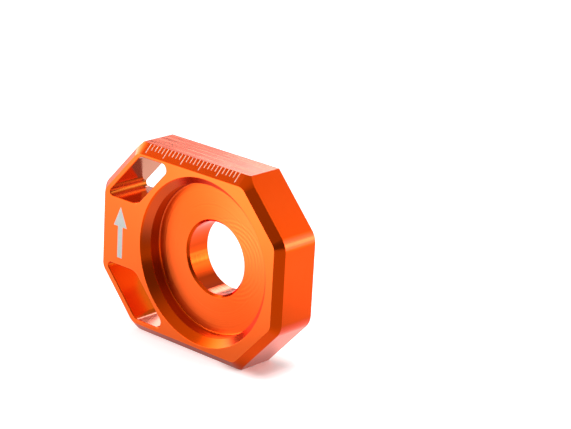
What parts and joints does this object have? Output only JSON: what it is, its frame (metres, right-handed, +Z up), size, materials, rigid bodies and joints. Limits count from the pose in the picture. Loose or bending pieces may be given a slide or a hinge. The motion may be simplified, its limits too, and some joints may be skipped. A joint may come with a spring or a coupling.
{
  "type": "motorcycle chain adjuster",
  "caption": "Eight-sided axle block with a round bore, a flared washer recess, two slanted windows and an engraved millimetre scale.",
  "frame": {"origin": "on the bore axis, in the plane of the rear face that bears on the swingarm", "axes": "+X along the block towards its short end, +Y from the recessed front face to the rear face, +Z up, with the scale on the upper edge"},
  "size_m": [0.0512, 0.0106, 0.0412],
  "materials": {
    "anodised_aluminium": "orange anodised, satin gloss"
  },
  "bodies": {
    "root": {"adjuster_block": "anodised_aluminium"}
  },
  "joints": []
}
